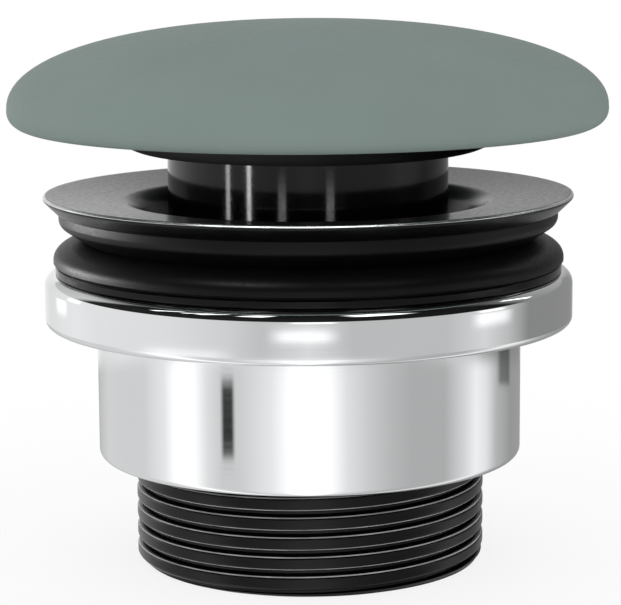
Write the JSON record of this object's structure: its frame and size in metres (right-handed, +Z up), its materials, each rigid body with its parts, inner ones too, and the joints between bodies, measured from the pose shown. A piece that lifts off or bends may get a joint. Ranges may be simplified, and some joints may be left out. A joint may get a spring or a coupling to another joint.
{
  "type": "basin waste",
  "caption": "Press-to-open basin waste with a domed ceramic cap, a dish flange, rubber clamping seals, a chrome collar and a threaded tail.",
  "frame": {"origin": "centre of the tail's lower end", "axes": "+Z up along the waste's axis, towards the cap; +X and -X through the cartridge's guide pins"},
  "size_m": [0.071, 0.071, 0.0645],
  "materials": {
    "cap_ceramic": "matt grey-green glaze",
    "black_plastic": "glossy black moulding",
    "chrome": "polished chrome plate",
    "rubber": "black, satin",
    "black_slip": "black, satin",
    "brass": "turned",
    "steel": "plain stainless",
    "white_plastic": "natural acetal",
    "grey_plastic": "moulded"
  },
  "bodies": {
    "lower_unit": {"tail_piece": "black_plastic", "collar_sleeve": "chrome"},
    "clamp_rings": {"slip_ring": "black_slip", "lower_seal": "rubber"},
    "upper_body": {"flange_body": "black_plastic", "upper_seal": "rubber", "cartridge_housing": "grey_plastic", "guide_pins": "steel", "guide_cap": "grey_plastic", "rod_seal": "rubber", "cartridge_base": "grey_plastic", "cartridge_nut": "grey_plastic", "return_spring": "steel"},
    "stopper": {"ceramic_cap": "cap_ceramic", "cap_insert": "brass", "cap_seal": "rubber", "stopper_stem": "black_plastic", "lock_nut": "steel", "click_plunger": "brass", "drum_clip": "steel"},
    "cam": {"cam_drum": "white_plastic"}
  },
  "joints": [
    {"name": "collar_turn", "type": "hinge", "parent": "lower_unit", "child": "clamp_rings", "pos_m": [0, 0, 0.0349], "axis": [0, 0, 1], "range_deg": [0, 1800]},
    {"name": "collar_travel", "type": "slide", "parent": "clamp_rings", "child": "upper_body", "axis": [0, 0, 1], "range_m": [0, 0.01155]},
    {"name": "cap_press", "type": "slide", "parent": "upper_body", "child": "stopper", "axis": [0, 0, -1], "range_m": [0, 0.0058], "stiffness_N_per_m": 1200, "springref_m": -0.01, "deforming": ["return_spring"]},
    {"name": "cam_turn", "type": "hinge", "parent": "stopper", "child": "cam", "pos_m": [0, 0, 0.03], "axis": [0, 0, -1], "range_deg": [0, 76]}
  ],
  "couplings": [
    {"joint": "collar_travel", "follows": "collar_turn", "m_per_rad": 0.00036749},
    {"joint": "cam_turn", "follows": "cap_press", "rad_per_m": 195.07}
  ]
}
